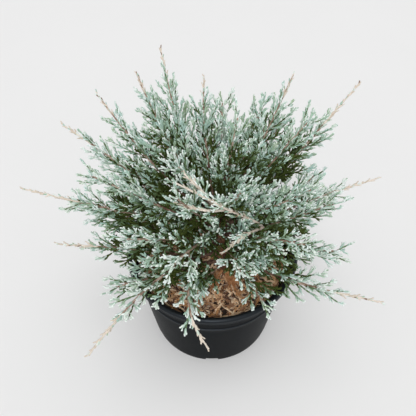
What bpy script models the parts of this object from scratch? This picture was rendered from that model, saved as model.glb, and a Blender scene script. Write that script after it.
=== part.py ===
"""A spreading blue juniper in a squat black nursery pot.

The plant is a short leaning trunk with a fan of arching shoots round it. The lower part of a long
shoot is a bare bough. Its leafy part is a mass: a slim stem with flat toothed sprays on it.
Units are metres and degrees, +Z is up, and the origin is the centre of the pot's underside.
"""

import math

import bmesh
import bpy
from mathutils import Matrix, Vector, kdtree

GAP = 0.0003

# The pot, a squat one of 280 mm across the rim.
RIM_RADIUS = 0.140
POT_HEIGHT = 0.205
POT_WALL = 0.0025
POT_FLOOR = 0.003
LIP_DEPTH = 0.009
LIP_OVERHANG = 0.0075
STEP_DROP = 0.021
STEP_IN = 0.0012
FOOT_RADIUS = 0.109
FOOT_CHAMFER = 0.003
POT_STEPS = 48
DRAIN_SLOTS = 6
DRAIN_WIDTH = 0.022
DRAIN_HEIGHT = 0.009
DRAIN_REACH = 0.012

# The potting mix, flat round the trunk and lower at the wall.
SOIL_HEIGHT = 0.178
SOIL_EDGE_DROP = 0.009
SOIL_FLAT_RADIUS = 0.058

# The trunk leans back from a foot in front of the pot's centre.
TRUNK_FOOT = Vector((0.020, -0.030, SOIL_HEIGHT + GAP))
TRUNK_HEIGHT = 0.112
TRUNK_LEAN = Vector((-0.014, 0.026, TRUNK_HEIGHT))
TRUNK_FOOT_RADIUS = 0.0095
TRUNK_TOP_RADIUS = 0.0062
FLARE_RADIUS = 0.006
FLARE_HEIGHT = 0.010
TRUNK_STEPS = 9

# Shoots. The sizes at the root go with the tier that a shoot grows from.
PATH_STEPS = 24
SAMPLE_COUNT = 80
SWAY = 4.0
ROOT_RADIUS = {"low": 0.0034, "mid": 0.0031, "top": 0.0026}
STEM_TIP_RADIUS = 0.0011
BOUGH_SHARE = 0.30
BOUGH_LEAST_LENGTH = 0.190
BOUGH_STEPS = 6
STEM_STEPS = 7

# Sprays, the flat side twigs of a mass.
SPRAY_LENGTH = 0.080
SPRAY_END_LENGTH = 0.026
SPRAY_THICKNESS = 0.0018
BLADE_BASE = 0.018
SPRAY_FORWARD = 42.0
SPRAY_SPACING = 0.018
SPRAY_FIRST = 0.12
SPRAY_SINK = 0.0003
GOLDEN_ANGLE = 137.5
SPRAY_SIZES = (1.0, 0.85, 0.7, 0.55)
SPRAY_TURNS = (0, 35, -35, 70, -70)
SPACE_MARGIN = 0.0015
SMALL_SPRAY = 0.042

# name, tier, height of the root on the trunk in mm, azimuth (0 is +X, 270 faces the viewer),
# rise at the root, change of rise to the tip, length in mm, length of the bare tip in mm,
# change of azimuth to the tip
SHOOTS = (
    ("right", "low", 46, 351, 6, 8, 190, 10, 0),
    ("right_long", "low", 24, 331, 12, -9, 240, 62, 12),
    ("front_right", "low", 35, 300, 16, -22, 122, 8, 0),
    ("front", "low", 59, 222, 27, -48, 196, 40, 87),
    ("front_left", "low", 46, 222, 33, -46, 264, 60, 13),
    ("left_front", "low", 24, 206, 20, -12, 190, 12, 0),
    ("left", "low", 35, 187, 12, 6, 242, 52, 0),
    ("left_back", "low", 46, 168, 14, 0, 250, 14, 0),
    ("back_left", "low", 24, 138, 12, 8, 235, 14, 0),
    ("back", "low", 35, 104, 12, 10, 230, 40, 0),
    ("back_right", "low", 24, 70, 12, 8, 235, 14, 0),
    ("right_back", "low", 35, 38, 14, 8, 206, 14, 0),
    ("mid_left", "mid", 59, 176, 26, -10, 294, 74, 0),
    ("mid_left_back", "mid", 81, 163, 40, -8, 268, 40, 0),
    ("mid_back_left", "mid", 59, 127, 36, 8, 240, 14, 0),
    ("mid_back", "mid", 81, 88, 45, 8, 205, 14, 0),
    ("mid_back_right", "mid", 59, 56, 38, 8, 214, 14, 0),
    ("mid_right_back", "mid", 81, 30, 40, 4, 285, 66, 0),
    ("mid_right", "mid", 70, 13, 20, -8, 248, 60, 0),
    ("mid_right_front", "mid", 59, 356, 38, -4, 194, 10, 0),
    ("mid_front_right", "mid", 81, 320, 36, -8, 175, 10, 0),
    ("mid_front", "mid", 59, 280, 46, -12, 165, 10, 0),
    ("mid_front_left", "mid", 81, 244, 40, -12, 176, 10, 0),
    ("mid_left_front", "mid", 70, 214, 38, 0, 196, 10, 0),
    ("top_back_left", "top", 92, 129, 50, -2, 267, 42, -24),
    ("top_left_back", "top", 106, 143, 49, 22, 240, 34, 4),
    ("top_left", "top", 99, 160, 43, 2, 250, 40, -17),
    ("top_left_front", "top", 92, 188, 35, 10, 226, 12, 0),
    ("top_back", "top", 99, 110, 59, -16, 208, 34, -24),
    ("top_back_right", "top", 92, 60, 52, 4, 206, 14, 0),
    ("top_right_back", "top", 106, 44, 52, 8, 229, 36, 0),
    ("top_right", "top", 99, 24, 50, 0, 212, 12, 0),
    ("top_front_right", "top", 92, 338, 46, 6, 195, 10, 0),
    ("top_front", "top", 106, 290, 62, 4, 166, 10, 0),
    ("top_front_left", "top", 99, 236, 55, 8, 182, 10, 0),
    ("leader", "crown", 112, 20, 80, 4, 198, 24, 0),
)


def clear_scene():
    for obj in list(bpy.data.objects):
        bpy.data.objects.remove(obj)


def new_collection(name):
    collection = bpy.data.collections.new(name)
    bpy.context.scene.collection.children.link(collection)
    return collection


def make_material(name, colour, roughness):
    material = bpy.data.materials.new(name)
    material.use_nodes = True
    shader = material.node_tree.nodes["Principled BSDF"]
    shader.inputs["Base Color"].default_value = (*colour, 1.0)
    shader.inputs["Roughness"].default_value = roughness
    shader.inputs["Metallic"].default_value = 0.0
    return material


# The growth rule: where the trunk and each shoot run, and how thick they are.
def trunk_point(height):
    return TRUNK_FOOT + TRUNK_LEAN * (height / TRUNK_HEIGHT)


def trunk_radius(height):
    share = height / TRUNK_HEIGHT
    taper = TRUNK_FOOT_RADIUS + (TRUNK_TOP_RADIUS - TRUNK_FOOT_RADIUS) * share
    return taper + FLARE_RADIUS * math.exp(-height / FLARE_HEIGHT)


def direction(azimuth, rise):
    a = math.radians(azimuth)
    e = math.radians(rise)
    return Vector((math.cos(e) * math.cos(a), math.cos(e) * math.sin(a), math.sin(e)))


def root_place(index):
    """Where a shoot starts: on the trunk's side, or over its top, and clear of it by the gap."""
    _, tier, root_mm, azimuth, rise, _, _, _, _ = SHOOTS[index]
    axis = TRUNK_LEAN.normalized()
    ahead = direction(azimuth, rise)
    radius = shoot_radius(index, 0.0)
    side = ahead - axis * ahead.dot(axis)
    if tier == "crown":
        return trunk_point(TRUNK_HEIGHT) + axis * (GAP + radius * side.length)
    height = root_mm / 1000
    out = trunk_radius(height) + radius * abs(ahead.dot(axis)) + GAP
    return trunk_point(height) + side.normalized() * out


def shoot_path(index):
    """The points of a shoot's centreline, from its root to the tip."""
    _, _, _, azimuth, rise, bend, length_mm, _, swing = SHOOTS[index]
    point = root_place(index)
    points = [point.copy()]
    for step in range(PATH_STEPS):
        share = (step + 0.5) / PATH_STEPS
        turn = SWAY * math.sin(math.pi * share) * math.sin(2 * math.pi * share + index * 2.4)
        ahead = direction(azimuth + swing * share + turn, rise + bend * share)
        point = point + ahead * (length_mm / 1000 / PATH_STEPS)
        points.append(point.copy())
    return points


def along(points, share):
    """The point and the unit direction at a share of a path's length."""
    place = min(max(share, 0.0), 1.0) * (len(points) - 1)
    first = min(int(place), len(points) - 2)
    ahead = points[first + 1] - points[first]
    return points[first] + ahead * (place - first), ahead.normalized()


def shoot_radius(index, share):
    root = ROOT_RADIUS.get(SHOOTS[index][1], ROOT_RADIUS["top"])
    return STEM_TIP_RADIUS + (root - STEM_TIP_RADIUS) * max(1 - share, 0.0) ** 0.9


def has_bough(index):
    _, tier, _, _, _, _, length_mm, _, _ = SHOOTS[index]
    return tier in ("low", "mid") and length_mm / 1000 >= BOUGH_LEAST_LENGTH


def sample_tree(path):
    tree = kdtree.KDTree(SAMPLE_COUNT + 1)
    for k in range(SAMPLE_COUNT + 1):
        tree.insert(along(path, k / SAMPLE_COUNT)[0], k)
    tree.balance()
    return tree


PATHS = [shoot_path(index) for index in range(len(SHOOTS))]
TREES = [sample_tree(path) for path in PATHS]


def distance_to(index, point):
    return TREES[index].find(point)[2]


def in_own_space(index, points):
    """True where all the points are nearer to their own shoot than to any other, and off the pot."""
    for point in points:
        out = math.hypot(point.x, point.y)
        if point.z < POT_HEIGHT + 0.006 and out < RIM_RADIUS + 0.006:
            if out > RIM_RADIUS - 0.030 or point.z < SOIL_HEIGHT + 0.004:
                return False
        height = min(max(point.z - TRUNK_FOOT.z, 0.0), TRUNK_HEIGHT)
        if (point - trunk_point(height)).length < trunk_radius(height) + SPACE_MARGIN:
            return False
        own = distance_to(index, point)
        for other in range(len(SHOOTS)):
            if other != index and distance_to(other, point) < own + 2 * SPACE_MARGIN:
                return False
    return True


# The spray: a flat blade, a unit long along +Y, with its teeth set forward and out of step.
def spray_outline(teeth):
    """The corners of a toothed blade, from the base up one side to the tip and back."""
    if teeth == 1:
        side = [(0.26, 0.64)]
    else:
        side = [(0.31, 0.50), (0.12, 0.46), (0.27, 0.84), (0.08, 0.80)]
    left = [(-x, y - 0.07) for x, y in reversed(side)]
    return [(BLADE_BASE, 0.0), *side, (0.0, 1.0), *left, (-BLADE_BASE, 0.0)]


def spray_template(name, teeth, parts):
    """The blade as a mesh: a flat curve with half its thickness as the extrusion."""
    curve = bpy.data.curves.new(name, "CURVE")
    curve.dimensions = "2D"
    curve.fill_mode = "BOTH"
    curve.extrude = 0.5
    outline = spray_outline(teeth)
    spline = curve.splines.new("POLY")
    spline.points.add(len(outline) - 1)
    for corner, (x, y) in zip(spline.points, outline):
        corner.co = (x, y, 0.0, 1.0)
    spline.use_cyclic_u = True
    return curve_to_mesh(bpy.data.objects.new(name, curve), parts)


def curve_to_mesh(obj, collection):
    """The curve's welded mesh. The curve itself is removed."""
    collection.objects.link(obj)
    bpy.context.view_layer.update()
    graph = bpy.context.evaluated_depsgraph_get()
    mesh = bpy.data.meshes.new_from_object(obj.evaluated_get(graph))
    work = bmesh.new()
    work.from_mesh(mesh)
    bmesh.ops.remove_doubles(work, verts=work.verts, dist=1e-6)
    bmesh.ops.recalc_face_normals(work, faces=work.faces)
    work.to_mesh(mesh)
    work.free()
    mesh.name = obj.name
    bpy.data.objects.remove(obj)
    return mesh


def tube_curve(name, places, resolution):
    """A tapering round limb through (point, radius) places."""
    curve = bpy.data.curves.new(name, "CURVE")
    curve.dimensions = "3D"
    curve.bevel_depth = 1.0
    curve.bevel_resolution = resolution
    curve.use_fill_caps = True
    spline = curve.splines.new("POLY")
    spline.points.add(len(places) - 1)
    for corner, (point, radius) in zip(spline.points, places):
        corner.co = (*point, 1.0)
        corner.radius = radius
    return bpy.data.objects.new(name, curve)


def mesh_object(name, mesh, material, collection):
    mesh.materials.clear()
    mesh.materials.append(material)
    obj = bpy.data.objects.new(name, mesh)
    collection.objects.link(obj)
    return obj


def turned(name, profile, collection, material):
    """A turned shape: a profile in the XZ plane, swept round the Z axis."""
    mesh = bpy.data.meshes.new(name)
    edges = [(k, k + 1) for k in range(len(profile) - 1)]
    mesh.from_pydata([(x, 0.0, z) for x, z in profile], edges, [])
    obj = mesh_object(name, mesh, material, collection)
    screw = obj.modifiers.new("Turn", "SCREW")
    screw.axis = "Z"
    screw.steps = POT_STEPS
    screw.render_steps = POT_STEPS
    screw.use_merge_vertices = True
    screw.merge_threshold = 0.00005
    return obj


def wall_radius(z):
    """The outside of the pot's wall under its lip."""
    top = RIM_RADIUS - LIP_OVERHANG - STEP_IN
    return FOOT_RADIUS + (top - FOOT_RADIUS) * z / POT_HEIGHT


def make_pot(collection, cutters, material):
    under_lip = POT_HEIGHT - 0.004
    step = POT_HEIGHT - STEP_DROP
    collar = RIM_RADIUS - LIP_OVERHANG
    lip_foot = POT_HEIGHT - LIP_DEPTH
    profile = [
        (0.0, POT_FLOOR),
        (wall_radius(POT_FLOOR) - POT_WALL, POT_FLOOR),
        (wall_radius(step) - POT_WALL, step),
        (collar - POT_WALL, POT_HEIGHT - 0.0015),
        (collar - POT_WALL + 0.0015, POT_HEIGHT),
        (RIM_RADIUS - 0.002, POT_HEIGHT),
        (RIM_RADIUS, POT_HEIGHT - 0.002),
        (RIM_RADIUS, lip_foot),
        (RIM_RADIUS - 0.0025, lip_foot),
        (RIM_RADIUS - 0.003, under_lip),
        (collar, under_lip),
        (collar - 0.0002, step),
        (wall_radius(step), step - 0.001),
        (wall_radius(FOOT_CHAMFER), FOOT_CHAMFER),
        (FOOT_RADIUS - FOOT_CHAMFER, 0.0),
        (0.0, 0.0),
    ]
    pot = turned("pot", profile, collection, material)
    for slot in range(DRAIN_SLOTS):
        angle = math.radians(270 + slot * 360 / DRAIN_SLOTS)
        middle = FOOT_RADIUS + 0.002
        bpy.ops.mesh.primitive_cube_add(size=1.0)
        cutter = bpy.context.object
        cutter.name = f"drain_cutter_{slot + 1}"
        bpy.context.collection.objects.unlink(cutter)
        cutters.objects.link(cutter)
        cutter.scale = (2 * DRAIN_REACH, DRAIN_WIDTH, 2 * DRAIN_HEIGHT)
        cutter.rotation_euler = (0.0, 0.0, angle)
        cutter.location = (middle * math.cos(angle), middle * math.sin(angle), 0.0)
        cutter.hide_render = True
        cutter.display_type = "WIRE"
    cut = pot.modifiers.new("Drain slots", "BOOLEAN")
    cut.operation = "DIFFERENCE"
    cut.operand_type = "COLLECTION"
    cut.collection = cutters
    return pot


def make_mix(collection, material):
    """The bark mix that fills the pot, a gap clear of its floor and wall."""
    floor = POT_FLOOR + GAP
    edge = SOIL_HEIGHT - SOIL_EDGE_DROP
    inside = POT_WALL + GAP
    profile = [
        (0.0, SOIL_HEIGHT),
        (SOIL_FLAT_RADIUS, SOIL_HEIGHT),
        (0.75 * wall_radius(edge), SOIL_HEIGHT - 0.45 * SOIL_EDGE_DROP),
        (wall_radius(edge) - inside, edge),
        (wall_radius(floor) - inside, floor),
        (0.0, floor),
    ]
    return turned("potting_mix", profile, collection, material)


def make_trunk(collection, material):
    places = []
    for step in range(TRUNK_STEPS + 1):
        height = TRUNK_HEIGHT * (step / TRUNK_STEPS) ** 1.6
        places.append((trunk_point(height), trunk_radius(height)))
    # The second point stands right over the first, so that the foot is cut level.
    lifted = places[1][0]
    places[1] = (Vector((TRUNK_FOOT.x, TRUNK_FOOT.y, lifted.z)), places[1][1])
    curve = tube_curve("trunk", places, 4)
    mesh = curve_to_mesh(curve, collection)
    return mesh_object("trunk", mesh, material, collection)


def shoot_name(index):
    return SHOOTS[index][0]


def make_bough(index, collection, material):
    points = PATHS[index]
    places = []
    for step in range(BOUGH_STEPS + 1):
        share = BOUGH_SHARE * step / BOUGH_STEPS
        places.append((along(points, share)[0], shoot_radius(index, share)))
    mesh = curve_to_mesh(tube_curve(f"bough_{shoot_name(index)}", places, 1), collection)
    return mesh_object(mesh.name, mesh, material, collection)


def mass_start(index):
    if not has_bough(index):
        return 0.0
    return BOUGH_SHARE + GAP / (SHOOTS[index][6] / 1000)


def spray_corners(foot, lead, across, size, outline):
    """Points on a spray's edges and along its middle, its buried base left out."""
    corners = [foot + across * (x * size) + lead * (y * size) for x, y in outline[1:-1]]
    middles = [(a + b) / 2 for a, b in zip(corners, corners[1:])]
    spine = [foot + lead * (size * part) for part in (0.3, 0.5, 0.7, 0.85)]
    return [point for point in corners + middles + spine if (point - foot).length > 0.009]


def fitted_spray(index, share, size, turn):
    """The largest spray at this place, of the sizes and turns tried, that keeps to its own space."""
    point, ahead = along(PATHS[index], share)
    beside = ahead.cross(Vector((0, 0, 1))).normalized()
    above = beside.cross(ahead)
    forward = math.radians(SPRAY_FORWARD)
    for scale in SPRAY_SIZES:
        for offset in SPRAY_TURNS:
            angle = turn + math.radians(offset)
            outward = beside * math.cos(angle) + above * math.sin(angle)
            lead = ahead * math.cos(forward) + outward * math.sin(forward)
            flat = ahead.cross(outward).normalized()
            across = lead.cross(flat).normalized()
            foot = point - lead * SPRAY_SINK
            length = size * scale
            teeth = 2 if length > SMALL_SPRAY else 1
            edge = spray_corners(foot, lead, across, length, spray_outline(teeth))
            if in_own_space(index, edge):
                matrix = Matrix.Identity(4)
                for row in range(3):
                    matrix[row][0] = across[row] * length
                    matrix[row][1] = lead[row] * length
                    matrix[row][2] = flat[row] * SPRAY_THICKNESS
                    matrix[row][3] = foot[row]
                return teeth, matrix
    return None


def spray_frames(index):
    """The sprays of a mass, from its stem's start to its bare tip."""
    length = SHOOTS[index][6] / 1000
    start = mass_start(index)
    last = 1 - SHOOTS[index][7] / SHOOTS[index][6]
    first = start + (1 - start) * (0.06 if has_bough(index) else SPRAY_FIRST)
    count = max(3, round(length * (last - first) / SPRAY_SPACING))
    frames = []
    for k in range(count):
        share = first + (last - first) * k / (count - 1)
        left = max(1 - share / last, 0.0)
        size = SPRAY_END_LENGTH + (SPRAY_LENGTH - SPRAY_END_LENGTH) * left ** 0.7
        turn = math.radians(GOLDEN_ANGLE * k + 70 * index)
        spray = fitted_spray(index, share, size, turn)
        if spray:
            frames.append(spray)
    return frames


def make_mass(index, templates, collection, material):
    """A mass of foliage: its stem, with each spray joined on by one Boolean union."""
    points = PATHS[index]
    start = mass_start(index)
    places = []
    for step in range(STEM_STEPS + 1):
        share = start + (1 - start) * step / STEM_STEPS
        places.append((along(points, share)[0], shoot_radius(index, share)))
    name = f"mass_{shoot_name(index)}"
    stem = mesh_object(name, curve_to_mesh(tube_curve(name, places, 0), collection), material, collection)
    sprays = new_collection(f"{name}_sprays")
    for k, (teeth, matrix) in enumerate(spray_frames(index)):
        blade = templates[teeth].copy()
        blade.transform(matrix)
        if matrix.determinant() < 0:
            blade.flip_normals()
        mesh_object(f"{name}_spray_{k}", blade, material, sprays)
    union = stem.modifiers.new("Sprays", "BOOLEAN")
    union.operation = "UNION"
    union.operand_type = "COLLECTION"
    union.collection = sprays
    union.solver = "MANIFOLD"
    bpy.context.view_layer.update()
    graph = bpy.context.evaluated_depsgraph_get()
    joined = bpy.data.meshes.new_from_object(stem.evaluated_get(graph))
    stem.modifiers.clear()
    stem.data = joined
    for obj in list(sprays.objects):
        bpy.data.objects.remove(obj)
    bpy.data.collections.remove(sprays)
    return stem


def shade(obj):
    if obj.type == "MESH":
        obj.data.shade_smooth()
        obj.data.set_sharp_from_angle(angle=math.radians(35))


def main():
    clear_scene()
    plant = new_collection("potted_juniper")
    cutters = new_collection("cutters")
    black = make_material("pot_black", (0.016, 0.018, 0.021), 0.45)
    bark_mix = make_material("bark_mix", (0.20, 0.10, 0.05), 0.9)
    bark = make_material("juniper_bark", (0.24, 0.12, 0.07), 0.85)
    young_bark = make_material("bough_bark", (0.36, 0.22, 0.16), 0.8)
    foliage = make_material("blue_foliage", (0.36, 0.52, 0.46), 0.7)
    shade(make_pot(plant, cutters, black))
    shade(make_mix(plant, bark_mix))
    shade(make_trunk(plant, bark))
    templates = {teeth: spray_template(f"spray_{teeth}", teeth, plant) for teeth in (1, 2)}
    for index in range(len(SHOOTS)):
        if has_bough(index):
            shade(make_bough(index, plant, young_bark))
    for index in range(len(SHOOTS)):
        make_mass(index, templates, plant, foliage)


main()
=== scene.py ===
import math

import bmesh
import bpy
import numpy as np
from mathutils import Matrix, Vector, noise


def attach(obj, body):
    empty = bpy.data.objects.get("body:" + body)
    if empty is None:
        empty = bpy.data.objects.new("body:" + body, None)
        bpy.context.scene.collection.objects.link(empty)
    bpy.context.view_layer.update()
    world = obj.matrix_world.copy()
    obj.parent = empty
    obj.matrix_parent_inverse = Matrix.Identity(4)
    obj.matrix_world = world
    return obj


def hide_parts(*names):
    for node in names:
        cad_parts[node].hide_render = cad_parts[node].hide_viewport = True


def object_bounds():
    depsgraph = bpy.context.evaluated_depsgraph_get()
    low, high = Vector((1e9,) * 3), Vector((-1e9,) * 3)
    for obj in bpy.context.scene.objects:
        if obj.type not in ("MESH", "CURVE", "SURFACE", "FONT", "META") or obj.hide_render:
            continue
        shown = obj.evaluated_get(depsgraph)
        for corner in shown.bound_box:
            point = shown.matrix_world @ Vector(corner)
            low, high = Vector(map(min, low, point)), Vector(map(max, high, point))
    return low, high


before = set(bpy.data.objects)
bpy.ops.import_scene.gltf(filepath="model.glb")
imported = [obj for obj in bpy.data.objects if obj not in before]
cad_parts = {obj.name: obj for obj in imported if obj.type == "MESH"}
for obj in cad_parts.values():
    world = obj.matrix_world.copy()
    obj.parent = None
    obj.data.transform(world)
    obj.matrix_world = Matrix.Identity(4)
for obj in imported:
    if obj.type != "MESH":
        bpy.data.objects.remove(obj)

cad_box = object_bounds()

# The pot: a squat nursery pot of thin black plastic. It is moulded in one piece, with a thick
# lip that is grooved round its outside, a shallow collar under the lip, a tapering wall and
# drain slots through the foot of the wall.
RIM_RADIUS = 0.140
POT_HEIGHT = 0.205
POT_WALL = 0.0025
POT_FLOOR = 0.003
COLLAR_RADIUS = 0.1325
COLLAR_FOOT = 0.184
LINE_HEIGHT = 0.1525
WALL_TOP_RADIUS = 0.1313
FOOT_RADIUS = 0.109
FOOT_ROUNDING = 0.003
UNDERSIDE_RING = 0.060
LINE_ROUNDING = 0.0017
COLLAR_ROUNDING = 0.0019
LIP_FOOT = 0.196
LIP_FOOT_ROUNDING = 0.0016
LIP_ROUNDING = 0.0050
POT_SEGMENTS = 160
POT_SHARP_ANGLE = 38
DRAIN_SLOTS = 6
DRAIN_WIDTH = 0.022
DRAIN_HEIGHT = 0.009
DRAIN_DEPTH = 0.024
DRAIN_CENTRE = FOOT_RADIUS + 0.002
WALL_SHINE = 0.013
LINE_SHINE = 0.36
LIP_SHINE = 0.30


def arc(centre, radius, start, end, count):
    """Points of a rounded corner in the (radius, height) plane, from one angle to another."""
    angles = np.radians(np.linspace(start, end, count))
    return [(centre[0] + radius * math.cos(a), centre[1] + radius * math.sin(a)) for a in angles]


def make_mesh(name, points, faces):
    mesh = bpy.data.meshes.new(name)
    mesh.from_pydata([tuple(map(float, p)) for p in points], [], [tuple(map(int, f)) for f in faces])
    mesh.validate()
    return mesh


def add_piece(name, mesh, material, smooth=True):
    """A finished piece of the plant, riding with the one body that all of it belongs to."""
    mesh.materials.clear()
    mesh.materials.append(material)
    if smooth:
        mesh.shade_smooth()
    piece = bpy.data.objects.new(name, mesh)
    bpy.context.scene.collection.objects.link(piece)
    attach(piece, "root")
    return piece


def turned_mesh(name, profile, segments):
    """A shape turned round the pot's axis. The profile's two ends lie on the axis."""
    rings = profile[1:-1]
    angles = np.arange(segments) * 2 * math.pi / segments
    points = [(r * math.cos(a), r * math.sin(a), z) for r, z in rings for a in angles]
    first, last = len(points), len(points) + 1
    points += [(0.0, 0.0, profile[0][1]), (0.0, 0.0, profile[-1][1])]
    faces = []
    for ring in range(len(rings) - 1):
        low, high = ring * segments, (ring + 1) * segments
        for s in range(segments):
            t = (s + 1) % segments
            faces.append((low + s, low + t, high + t, high + s))
    top = (len(rings) - 1) * segments
    for s in range(segments):
        t = (s + 1) % segments
        faces.append((first, t, s))
        faces.append((last, top + s, top + t))
    return make_mesh(name, points, faces)


# Most values of a noise texture lie between these two, and the tones are spread over them.
NOISE_LOW = 0.32
NOISE_HIGH = 0.68
BUMP_HEIGHT = 0.001


def surface(name, tones, scale, roughness, bump=0.0, bump_scale=400.0, stretch=(1.0, 1.0, 1.0), shine=0.5):
    """A finish whose colour wanders between its tones, with a fine bump over it."""
    material = bpy.data.materials.new(name)
    material.use_nodes = True
    nodes = material.node_tree.nodes
    links = material.node_tree.links
    shader = nodes["Principled BSDF"]
    shader.inputs["Metallic"].default_value = 0.0
    shader.inputs["Specular IOR Level"].default_value = shine
    place = nodes.new("ShaderNodeTexCoord")
    mapping = nodes.new("ShaderNodeMapping")
    mapping.inputs["Scale"].default_value = stretch
    links.new(place.outputs["Object"], mapping.inputs["Vector"])
    wander = nodes.new("ShaderNodeTexNoise")
    wander.inputs["Scale"].default_value = scale
    wander.inputs["Detail"].default_value = 4.0
    links.new(mapping.outputs["Vector"], wander.inputs["Vector"])
    ramp = nodes.new("ShaderNodeValToRGB")
    stops = ramp.color_ramp.elements
    while len(stops) < len(tones):
        stops.new(0.5)
    for k, tone in enumerate(tones):
        stops[k].position = NOISE_LOW + (NOISE_HIGH - NOISE_LOW) * k / max(len(tones) - 1, 1)
        stops[k].color = (*tone, 1.0)
    links.new(wander.outputs["Fac"], ramp.inputs["Fac"])
    links.new(ramp.outputs["Color"], shader.inputs["Base Color"])
    if isinstance(roughness, tuple):
        spread = nodes.new("ShaderNodeMapRange")
        spread.inputs["To Min"].default_value = roughness[0]
        spread.inputs["To Max"].default_value = roughness[1]
        links.new(wander.outputs["Fac"], spread.inputs["Value"])
        links.new(spread.outputs["Result"], shader.inputs["Roughness"])
    else:
        shader.inputs["Roughness"].default_value = roughness
    if bump:
        grain = nodes.new("ShaderNodeTexNoise")
        grain.inputs["Scale"].default_value = bump_scale
        grain.inputs["Detail"].default_value = 3.0
        links.new(mapping.outputs["Vector"], grain.inputs["Vector"])
        relief = nodes.new("ShaderNodeBump")
        relief.inputs["Strength"].default_value = bump
        relief.inputs["Distance"].default_value = BUMP_HEIGHT
        links.new(grain.outputs["Fac"], relief.inputs["Height"])
        links.new(relief.outputs["Normal"], shader.inputs["Normal"])
    return material


def wall_radius(z):
    """The radius of the tapering wall's outside at a height."""
    return FOOT_RADIUS + (WALL_TOP_RADIUS - FOOT_RADIUS) * z / POT_HEIGHT


pot_profile = [
    # The flat underside and the rounded foot.
    (0.0, 0.0),
    (UNDERSIDE_RING, 0.0),
    (FOOT_RADIUS - 4 * FOOT_ROUNDING, 0.0),
    *arc((FOOT_RADIUS - FOOT_ROUNDING, FOOT_ROUNDING), FOOT_ROUNDING, -90, -4, 6),
    # The wall, with a fine moulded line round it.
    *[(wall_radius(z), z) for z in np.linspace(4 * FOOT_ROUNDING, LINE_HEIGHT - 0.003, 12)],
    *arc((wall_radius(LINE_HEIGHT) - 0.0002, LINE_HEIGHT), LINE_ROUNDING, -80, 80, 8),
    (wall_radius(LINE_HEIGHT) + 0.0003, LINE_HEIGHT + 0.003),
    # The collar.
    (wall_radius(COLLAR_FOOT - 0.0022), COLLAR_FOOT - 0.0022),
    *arc((COLLAR_RADIUS - 0.0004, COLLAR_FOOT), COLLAR_ROUNDING, -85, 70, 8),
    (COLLAR_RADIUS - 0.0012, COLLAR_FOOT + 0.0030),
    (COLLAR_RADIUS - 0.0012, LIP_FOOT - 0.0004),
    # The lip, with a groove between its rounded foot and its rounded top.
    *arc((RIM_RADIUS - LIP_FOOT_ROUNDING, LIP_FOOT + LIP_FOOT_ROUNDING), LIP_FOOT_ROUNDING, -95, 50, 9),
    (RIM_RADIUS - 0.0024, LIP_FOOT + 0.0031),
    *arc((RIM_RADIUS - LIP_ROUNDING - 0.0004, POT_HEIGHT - LIP_ROUNDING), LIP_ROUNDING, -12, 172, 18),
    # The inside of the wall and the floor.
    *[(wall_radius(z) - POT_WALL + 0.0004, z) for z in np.linspace(COLLAR_FOOT, POT_FLOOR + 0.004, 8)],
    (wall_radius(POT_FLOOR) - POT_WALL - 0.004, POT_FLOOR),
    (0.0, POT_FLOOR),
]
pot_mesh = turned_mesh("pot_body", pot_profile, POT_SEGMENTS)
slot_blocks = bmesh.new()
for number in range(DRAIN_SLOTS):
    angle = math.radians(270 + number * 360 / DRAIN_SLOTS)
    block = bmesh.ops.create_cube(slot_blocks, size=1.0)["verts"]
    cos, sin = math.cos(angle), math.sin(angle)
    for vertex in block:
        x = DRAIN_DEPTH * vertex.co.x + DRAIN_CENTRE
        y = DRAIN_WIDTH * vertex.co.y
        z = 2 * DRAIN_HEIGHT * vertex.co.z
        vertex.co = (x * cos - y * sin, x * sin + y * cos, z)
block_mesh = bpy.data.meshes.new("slot_blocks")
slot_blocks.to_mesh(block_mesh)
slot_blocks.free()
uncut = bpy.data.objects.new("pot_uncut", pot_mesh)
blocks = bpy.data.objects.new("slot_blocks", block_mesh)
for helper in (uncut, blocks):
    bpy.context.scene.collection.objects.link(helper)
cutting = uncut.modifiers.new("Drain slots", "BOOLEAN")
cutting.operation = "DIFFERENCE"
cutting.object = blocks
bpy.context.view_layer.update()
cut_mesh = bpy.data.meshes.new_from_object(uncut.evaluated_get(bpy.context.evaluated_depsgraph_get()))
for helper in (uncut, blocks):
    bpy.data.objects.remove(helper)
cut_mesh.name = "pot_body"
pot_black = surface(
    "moulded_black_plastic",
    [(0.0052, 0.0064, 0.0076), (0.0064, 0.0078, 0.0090), (0.0096, 0.0104, 0.0110)],
    26.0,
    (0.30, 0.42),
    bump=0.10,
    bump_scale=900.0,
)
# The lip and the moulded line have a shine from handling, and the wall is matt. The shine
# changes in steps with the height on the pot.
pot_nodes = pot_black.node_tree.nodes
pot_links = pot_black.node_tree.links
height_of = pot_nodes.new("ShaderNodeSeparateXYZ")
height_share = pot_nodes.new("ShaderNodeMapRange")
height_share.inputs["From Max"].default_value = POT_HEIGHT
handled = pot_nodes.new("ShaderNodeValToRGB")
handled.color_ramp.interpolation = "CONSTANT"
shine_steps = (
    (0.0, WALL_SHINE),
    (LINE_HEIGHT - 0.0014, LINE_SHINE),
    (LINE_HEIGHT + 0.0017, WALL_SHINE),
    (LIP_FOOT - 0.008, LIP_SHINE),
)
for number, (height, level) in enumerate(shine_steps):
    stops = handled.color_ramp.elements
    stop = stops[number] if number < 2 else stops.new(height / POT_HEIGHT)
    stop.position = height / POT_HEIGHT
    stop.color = (level, level, level, 1.0)
pot_links.new(pot_nodes["Texture Coordinate"].outputs["Object"], height_of.inputs["Vector"])
pot_links.new(height_of.outputs["Z"], height_share.inputs["Value"])
pot_links.new(height_share.outputs["Result"], handled.inputs["Fac"])
pot_links.new(handled.outputs["Color"], pot_nodes["Principled BSDF"].inputs["Specular IOR Level"])
# The shine is tinted blue: a painted reflection of a blue sky, which the white dome doesn't give.
pot_nodes["Principled BSDF"].inputs["Specular Tint"].default_value = (0.78, 0.88, 1.0, 1.0)
pot_piece = add_piece("pot_body", cut_mesh, pot_black)
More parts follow.
